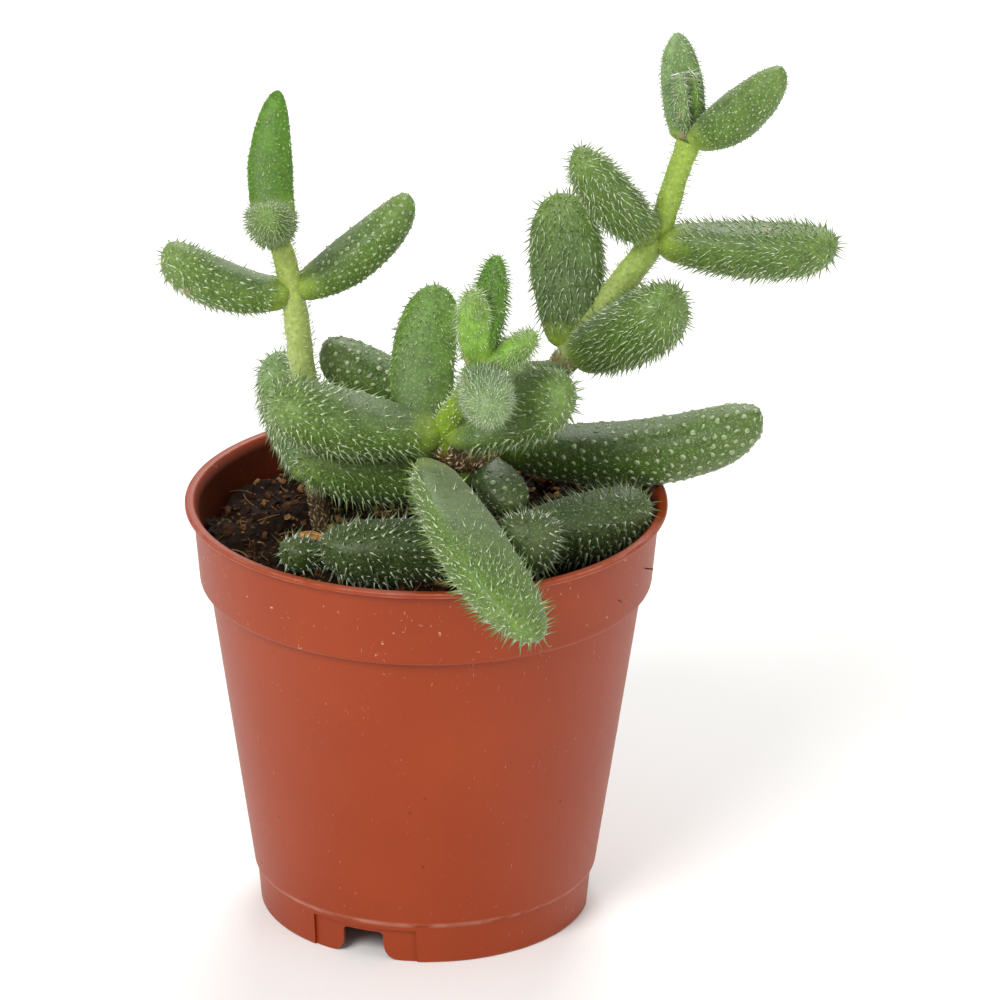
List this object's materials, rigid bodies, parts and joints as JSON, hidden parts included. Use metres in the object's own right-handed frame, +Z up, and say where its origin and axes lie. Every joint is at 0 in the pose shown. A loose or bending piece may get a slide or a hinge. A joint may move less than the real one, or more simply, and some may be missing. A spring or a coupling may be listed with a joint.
{
  "type": "potted pickle plant",
  "caption": "Small branching succulent with plump, bristly, finger-like leaves in opposite pairs, growing in soil in a thin terracotta-coloured plastic nursery pot.",
  "frame": {"origin": "on the ground below the middle of the whole plant's bounding box; the pot's axis is 8.5 mm to -X and 5.0 mm to +Y of it", "axes": "+Z up along the pot's axis, the pictured front faces -Y, +X to the viewer's right"},
  "size_m": [0.0788, 0.065, 0.1018],
  "materials": {
    "pot": "thin terracotta-coloured moulded plastic, satin with faint scuffs",
    "soil": "dark peat with fibres and bark chips, matt",
    "fresh_stem": "yellow-green fleshy stem with short white hairs, satin",
    "woody_stem": "older stem, grey-brown and rough, matt",
    "mature_leaf": "mid-green fleshy leaf with clear papillae and white bristles, satin",
    "young_leaf": "yellow-green young leaf with dense fine white hairs, satin",
    "dark_leaf": "dark green older leaf with pale dots and bristles, satin",
    "dried_leaf": "withered orange-brown leaf, matt"
  },
  "bodies": {
    "root": {"pot": "pot", "soil": "soil", "left_stem": "fresh_stem", "centre_stem": "woody_stem", "right_stem": "fresh_stem", "low_stem": "woody_stem", "back_stem": "woody_stem", "left_leaf_out": "mature_leaf", "left_leaf_in": "mature_leaf", "left_leaf_back": "mature_leaf", "left_leaf_front": "young_leaf", "left_leaf_low": "dark_leaf", "centre_leaf_left": "mature_leaf", "centre_leaf_right": "mature_leaf", "centre_leaf_back": "mature_leaf", "centre_leaf_front": "mature_leaf", "centre_leaf_low_left": "mature_leaf", "centre_leaf_low_right": "dark_leaf", "young_leaf_front": "young_leaf", "young_leaf_back": "young_leaf", "young_leaf_left": "young_leaf", "young_leaf_right": "young_leaf", "right_leaf_low_right": "dark_leaf", "right_leaf_low_left": "dark_leaf", "right_leaf_low_front": "dark_leaf", "right_leaf_mid_left": "mature_leaf", "right_leaf_mid_right": "mature_leaf", "right_leaf_high_left": "mature_leaf", "right_leaf_high_right": "mature_leaf", "right_leaf_top_left": "young_leaf", "right_leaf_top_right": "young_leaf", "right_bud_left": "young_leaf", "right_bud_right": "young_leaf", "low_leaf_left": "dark_leaf", "low_leaf_front": "dark_leaf", "low_leaf_right": "dark_leaf", "back_leaf_left": "dark_leaf", "back_leaf_right": "dark_leaf", "small_leaf_front_left": "dark_leaf", "dried_leaf_left": "dried_leaf", "dried_leaf_middle": "dried_leaf"}
  },
  "joints": []
}
